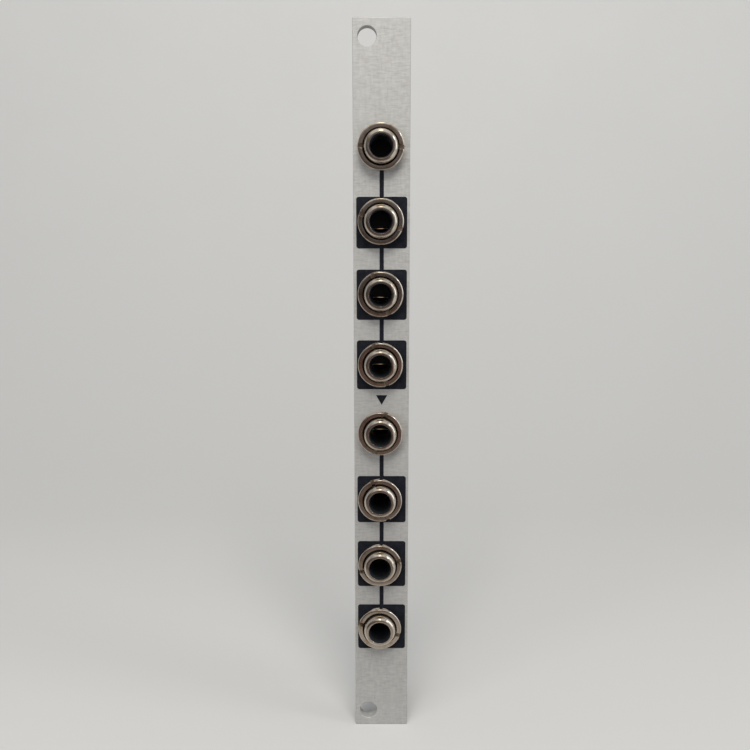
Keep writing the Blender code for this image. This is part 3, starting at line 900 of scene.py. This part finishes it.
def socket_body_mesh():
    """Moulded box with side windows, a thin rear wall, feet towards the board and ribs beside the strap."""
    axis_x = (HOUSING_LOW.x + HOUSING_HIGH.x) / 2
    axis_z = jack_axis(1)[1]
    axis = Vector((axis_x, 0, axis_z))
    low, high = HOUSING_LOW - axis, HOUSING_HIGH - axis
    shell = scratch_object("socket_body", add_box, low, high)
    shell.data = edges_broken(shell.data, BODY_EDGE, BODY_EDGE_STEPS)
    cavity_low = (low.x + BODY_WALL, low.y + BODY_FRONT_WALL, low.z + BODY_WALL)
    cavity_high = (high.x - BODY_WALL, high.y - BODY_REAR_WALL, high.z - BODY_WALL)
    mouth_high = (high.x - BODY_WALL, high.y + OVERRUN, SWITCH_HIGH.z - axis_z + REAR_MOUTH_MARGIN)
    window_low = (low.x - OVERRUN, WINDOW_FRONT, WINDOW_BOTTOM)
    window_high = (high.x + OVERRUN, WINDOW_REAR, WINDOW_TOP)
    barrel_ends = (low.y - OVERRUN, low.y + BODY_FRONT_WALL + OVERRUN)
    tools = [
        box_tool("DIFFERENCE", "cavity", cavity_low, cavity_high),
        box_tool("DIFFERENCE", "rear_mouth", cavity_low, mouth_high),
        ("DIFFERENCE", scratch_object("barrel_hole", add_rod, HOLE_RADIUS, *barrel_ends)),
        box_tool("DIFFERENCE", "windows", window_low, window_high),
    ]
    front, rear = WINDOW_FRONT - RECESS_MARGIN, WINDOW_REAR + RECESS_MARGIN
    recesses = (
        ("recess", WINDOW_BOTTOM - RECESS_MARGIN, WINDOW_TOP + RECESS_MARGIN),
        ("upper_recess", WINDOW_TOP + 2 * RECESS_MARGIN, high.z - BODY_WALL),
    )
    rib_start = STRAP_HALF + RIB_GAP
    foot_start = high.x - BODY_EDGE
    for side, outer in ((-1, low.x), (1, high.x)):
        left, right = sorted((outer - side * RECESS_DEPTH, outer + side * OVERRUN))
        for name, bottom, top in recesses:
            tools.append(box_tool("DIFFERENCE", name, (left, front, bottom), (right, rear, top)))
        left, right = sorted((side * rib_start, side * (rib_start + RIB_WIDTH)))
        rib_low = (left, low.y + BODY_EDGE, high.z - RIB_HEIGHT)
        rib_high = (right, high.y - BODY_EDGE, high.z + RIB_HEIGHT)
        tools.append(box_tool("UNION", "rib", rib_low, rib_high))
        left, right = sorted((side * foot_start, side * (foot_start - FOOT_SIZE)))
        for base in (low.z + BODY_EDGE, high.z - BODY_EDGE - FOOT_SIZE):
            foot_low = (left, high.y - BODY_WALL / 2, base)
            foot_high = (right, BOARD_FRONT - FOOT_GAP, base + FOOT_SIZE)
            tools.append(box_tool("UNION", "foot", foot_low, foot_high))
    mesh = combined(shell, tools)
    mesh = edges_broken(mesh, MOULDED_EDGE, angle=MOULDED_ANGLE)
    mesh.materials.clear()
    smooth(mesh)
    return mesh


def pin_places(number):
    """(x, z) of a socket's three pins: sleeve, switch and tip."""
    x, z = jack_axis(number)
    base_x, base_z = jack_axis(1)
    strap = STRAP_TOP - CONTACT_SHEET / 2 - base_z
    switch = (SWITCH_HIGH.x - PIN_WIDTH / 2 - base_x, (SWITCH_LOW.z + SWITCH_HIGH.z) / 2 - base_z)
    lug = (LUG_LOW.z + LUG_HIGH.z) / 2 - base_z
    return [(x, z + strap), (x + switch[0], z + switch[1]), (x, z + lug)]


def add_fillet(bm, centre):
    """Solder that climbs from a round pad to the flat pin that passes through it."""
    half_x = PIN_WIDTH / 2 + SOLDER_HUG
    half_z = CONTACT_SHEET / 2 + SOLDER_HUG
    rings = []
    for row in range(SOLDER_ROWS + 1):
        climb = row / SOLDER_ROWS
        draw = (1 - climb) ** SOLDER_SAG
        y = BOARD_REAR + MASK + SOLDER_HEIGHT * climb ** SOLDER_LIFT
        ring = []
        for step in range(SMALL_SIDES):
            angle = 2 * math.pi * step / SMALL_SIDES
            across, up = math.cos(angle), math.sin(angle)
            reach = abs(across / half_x) ** PIN_SQUARENESS + abs(up / half_z) ** PIN_SQUARENESS
            radius = draw * SOLDER_SPREAD + (1 - draw) / reach ** (1 / PIN_SQUARENESS)
            ring.append(bm.verts.new((centre[0] + radius * across, y, centre[1] + radius * up)))
        rings.append(ring)
    add_tube(bm, rings)


def contact_lip(number):
    """Lip across the tip spring's crest, rubbed bright, whose cut edge faces the bore."""
    half = Vector((LIP_WIDTH, LIP_THICKNESS, LIP_HEIGHT)) / 2
    lip = scratch_object("lip", add_box, -half, half)
    mesh = edges_broken(lip.data, EDGE_BREAK)
    bpy.data.objects.remove(lip)
    mesh.transform(Matrix.Translation((0, LIP_Y, LIP_Z)) @ Matrix.Rotation(-LIP_TILT, 4, "X"))
    smooth(mesh)
    x, z = jack_axis(number)
    piece = new_piece(f"jack_{number}_contact_lip", mesh, RUBBED_BRONZE, (x, 0, z))
    level_faces(piece)
    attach(piece, f"spring_{number}")


def solder_joints(number):
    """Solder round the three pins of a socket, behind the board."""
    bm = bmesh.new()
    for place in pin_places(number):
        add_fillet(bm, place)
    name = f"jack_{number}_solder_joints"
    mesh = mesh_from(bm, name)
    smooth(mesh)
    piece = new_piece(name, mesh, SOLDER)
    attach(piece, "module")


def pads(number):
    """Tinned rings round a socket's pins, on both faces of the board."""
    bm = bmesh.new()
    for centre in pin_places(number):
        for front, rear in ((BOARD_FRONT - FOIL, BOARD_FRONT), (BOARD_REAR, BOARD_REAR + FOIL)):
            outlines = [circle(radius, centre, SMALL_SIDES) for radius in (PAD_RADIUS, DRILL_RADIUS)]
            mesh = plate_mesh("pad", outlines, front, rear)
            bm.from_mesh(mesh)
            bpy.data.meshes.remove(mesh)
    name = f"jack_{number}_pads"
    mesh = mesh_from(bm, name)
    smooth(mesh)
    piece = new_piece(name, mesh, PAD)
    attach(piece, "module")


def add_track(bm, points, width, front, rear):
    """Flat strip along points of (x, z), between two depths, with mitred corners."""
    points = [Vector(p) for p in points]
    sides = []
    for index, here in enumerate(points):
        before = points[max(index - 1, 0)]
        after = points[min(index + 1, len(points) - 1)]
        first = (here - before).normalized() if here != before else (after - here).normalized()
        second = (after - here).normalized() if here != after else first
        along = (first + second).normalized()
        across = Vector((-along.y, along.x)) * width / 2 / max(along.dot(first), MITRE_LIMIT)
        sides.append((here + across, here - across))
    rings = []
    for left, right in sides:
        corners = ((left, front), (right, front), (right, rear), (left, rear))
        rings.append([bm.verts.new((spot.x, depth, spot.y)) for spot, depth in corners])
    add_tube(bm, rings)


def bypass(start, end, x):
    """Route from one pin to another below it, by way of a vertical run at x."""
    return [start, (x, start[1] - abs(x - start[0])), (x, end[1] + abs(x - end[0])), end]


def board_tracks():
    """Tip tracks of both groups and their link on the rear face, and the ground track in front."""
    tip, ground = bmesh.new(), bmesh.new()
    rear = (BOARD_REAR, BOARD_REAR + MASK)
    front = (BOARD_FRONT - MASK, BOARD_FRONT)
    for number in JACKS[:-1]:
        sleeve_pin, _, tip_pin = pin_places(number)
        next_sleeve, next_switch, next_tip = pin_places(number + 1)
        if number + 1 in FIRST_OF_GROUP:
            elbow = (next_switch[0], tip_pin[1] - abs(next_switch[0] - tip_pin[0]))
            add_track(tip, [tip_pin, elbow, next_switch], TRACK_WIDTH, *rear)
        else:
            add_track(tip, bypass(tip_pin, next_tip, TIP_TRACK_X), TRACK_WIDTH, *rear)
        add_track(ground, bypass(sleeve_pin, next_sleeve, GROUND_TRACK_X), GROUND_WIDTH, *front)
    for name, bm in (("tip_tracks", tip), ("ground_track", ground)):
        piece = new_piece(name, mesh_from(bm, name), TRACK_MASK)
        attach(piece, "module")


def board():
    """Laminate with a sheet of solder mask on each face, drilled for every pin."""
    low, high = (BOARD_LOW.x, BOARD_LOW.z), (BOARD_HIGH.x, BOARD_HIGH.z)
    centres = [place for number in JACKS for place in pin_places(number)]
    edge = rounded_rectangle(low, high, BOARD_CORNER)
    drilled = [edge] + [circle(DRILL_RADIUS, centre, SMALL_SIDES) for centre in centres]
    core = plate_mesh("board_core", drilled, BOARD_FRONT + MASK, BOARD_REAR - MASK)
    piece = new_piece("board_core", core, LAMINATE)
    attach(piece, "module")
    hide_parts("circuit_board")
    sheets = (
        ("front_mask", BOARD_FRONT, BOARD_FRONT + MASK),
        ("rear_mask", BOARD_REAR - MASK, BOARD_REAR),
    )
    for name, front, rear in sheets:
        sheet = new_piece(name, plate_mesh(name, drilled, front, rear), BOARD_MASK)
        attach(sheet, "module")


def sockets():
    """Nut, bushing and body of each socket, the finishes of its contacts, and its lip, pads and solder."""
    made = (
        ("slotted_nut", nut_mesh(), NUT_NICKEL, "nut", "nickel"),
        ("threaded_bushing", bushing_mesh(), BUSHING_NICKEL, "bushing", "nickel"),
        ("socket_body", socket_body_mesh(), PLASTIC, "housing", "housing_plastic"),
    )
    finishes = {"sleeve_lug": LUG_NICKEL, "tip_lug": TINNED, "switch_contact": TINNED, "tip_spring": BRONZE}
    for number in JACKS:
        x, z = jack_axis(number)
        slot_turn = -math.radians(SLOT_DEGREES[number - 1])
        turns = {"slotted_nut": slot_turn, "threaded_bushing": number * THREAD_TURN}
        for kind, mesh, material, replaced, slot in made:
            piece = new_piece(f"jack_{number}_{kind}", mesh, material, (x, 0, z), turns.get(kind, 0))
            level_faces(piece)
            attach(piece, "module")
            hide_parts(f"jack_{number}_{replaced}")
        for kind, material in finishes.items():
            solid = NODES[f"jack_{number}_{kind}"]
            solid.data.materials.clear()
            solid.data.materials.append(material)
        contact_lip(number)
        pads(number)
        solder_joints(number)


# Stage, lights and camera

def sweep():
    """Pale floor that curves up into a backdrop."""
    floor = PANEL_LOW.z
    bend_start = SWEEP_BACK - SWEEP_BEND
    profile = [(-SWEEP_REACH, floor), (bend_start, floor)]
    for step in range(1, SWEEP_STEPS + 1):
        angle = math.pi / 2 * step / SWEEP_STEPS
        y = bend_start + SWEEP_BEND * math.sin(angle)
        z = floor + SWEEP_BEND * (1 - math.cos(angle))
        profile.append((y, z))
    profile.append((SWEEP_BACK, SWEEP_TOP))
    bm = bmesh.new()
    rows = []
    for y, z in profile:
        rows.append([bm.verts.new((x, y, z)) for x in (-SWEEP_REACH, SWEEP_REACH)])
    for (left, right), (next_left, next_right) in zip(rows, rows[1:]):
        bm.faces.new((left, right, next_right, next_left))
    mesh = bpy.data.meshes.new("sweep")
    bm.to_mesh(mesh)
    bm.free()
    mesh.shade_smooth()
    new_piece("sweep", mesh, sweep_paper())


def area_light(name, place, target, size, watts, color):
    """Rectangular lamp that faces its target and that the camera doesn't see."""
    light = bpy.data.lights.new(name, "AREA")
    light.shape = "RECTANGLE"
    light.size, light.size_y = size
    light.energy = watts
    light.color = color
    lamp = new_object(name, light)
    lamp.location = place
    lamp.rotation_euler = (target - place).to_track_quat("-Z", "Y").to_euler()
    lamp.visible_camera = False
    return lamp


def reflection_glow_card(name, rows):
    """Glowing card through rows of (first end, second end, tone), in millimetres, that paints reflections
    and is seen only in them.
    """
    bm = bmesh.new()
    layer = bm.loops.layers.color.new("tone")
    edges = []
    for first, second, tone in rows:
        ends = [bm.verts.new(Vector(end) * MM) for end in (first, second)]
        edges.append((ends, tone))
    for (ends, tone), (next_ends, next_tone) in zip(edges, edges[1:]):
        face = bm.faces.new((*ends, *reversed(next_ends)))
        for loop in face.loops:
            loop[layer] = (*(tone if loop.vert in ends else next_tone), 1)
    mesh = bpy.data.meshes.new(name)
    bm.to_mesh(mesh)
    bm.free()
    finish = Finish(name, 0.5)
    finish.shader.inputs["Base Color"].default_value = (0, 0, 0, 1)
    # The tone glows, so the card paints reflections without being lit.
    finish.shader.inputs["Emission Strength"].default_value = 1.0
    glow = node(finish.tree, "VertexColor", {"layer_name": "tone"})
    finish.tree.links.new(glow.outputs["Color"], finish.shader.inputs["Emission Color"])
    card = new_piece(name, mesh, finish.material)
    card.visible_camera = False
    card.visible_diffuse = False
    card.visible_shadow = False


def cards():
    """Glowing cards that paint reflections of a dim room in front of the module and on its left."""
    front = [((ROOM_LEFT, y, z), (ROOM_RIGHT, y, z), tone) for y, z, tone in FRONT_REFLECTION_GLOW]
    left = [((ROOM_LEFT, y, ROOM_FLOOR), (ROOM_LEFT, y, ROOM_TOP), tone) for y, tone in LEFT_REFLECTION_GLOW]
    reflection_glow_card("front_card", front)
    reflection_glow_card("left_card", left)


def reach_only(lamp, pieces, state="INCLUDE"):
    """Let a lamp reach these pieces alone, or all but these."""
    receivers = bpy.data.collections.new(lamp.name)
    for piece in pieces:
        receivers.objects.link(piece)
    for link in receivers.collection_objects:
        link.light_linking.link_state = state
    lamp.light_linking.receiver_collection = receivers


def pieces_ending(*endings):
    """Objects of the scene whose names end in one of these ways."""
    return [piece for piece in bpy.data.objects if piece.name.endswith(endings)]


def lights():
    """Lamps for the bright metal in front, for the springs' lips, and for all but that metal."""
    middle = Vector((0, 0, (PANEL_LOW.z + PANEL_HIGH.z) / 2))
    bright_metal = pieces_ending("_slotted_nut", "_threaded_bushing")
    lips = pieces_ending("_contact_lip")
    for name, (place, size, watts, color) in LAMPS.items():
        place = Vector(place) * MM
        target = Vector((place.x, place.y, 0)) if name in STRAIGHT_DOWN else middle
        lamp = area_light(name, place, target, [side * MM for side in size], watts, color)
        if name in LIP_LAMPS:
            reach_only(lamp, lips)
        elif name in METAL_LAMPS:
            reach_only(lamp, bright_metal)
        else:
            reach_only(lamp, bright_metal, "EXCLUDE")


def surroundings():
    """Even grey room light, with a paler tone where the camera looks past the backdrop."""
    world = bpy.data.worlds.new("studio")
    bpy.context.scene.world = world
    world.use_nodes = True
    tree = world.node_tree
    seen = node(tree, "LightPath").outputs["Is Camera Ray"]
    tones = {"i6": (*ROOM_TONE, 1), "i7": (*HORIZON_TONE, 1)}
    tone = node(tree, "Mix", {"data_type": "RGBA"}, i0=seen, **tones)
    tree.links.new(tone.outputs[2], tree.nodes["Background"].inputs["Color"])


def camera():
    """Camera a little above the module's middle, looking slightly down."""
    data = bpy.data.cameras.new("camera")
    data.lens = LENS
    data.clip_start = CLIP_NEAR
    data.clip_end = CLIP_FAR
    obj = new_object("camera", data)
    turn = Euler((math.pi / 2 - CAMERA_PITCH, 0, CAMERA_YAW)).to_matrix().to_4x4()
    roll = Matrix.Rotation(CAMERA_ROLL, 4, "Z")
    obj.matrix_world = Matrix.Translation(CAMERA_PLACE) @ turn @ roll
    bpy.context.scene.camera = obj


panel_strip()
printed_marks()
sockets()
board()
board_tracks()
sweep()
cards()
lights()
surroundings()
camera()
bpy.context.scene.view_settings.view_transform = "Standard"
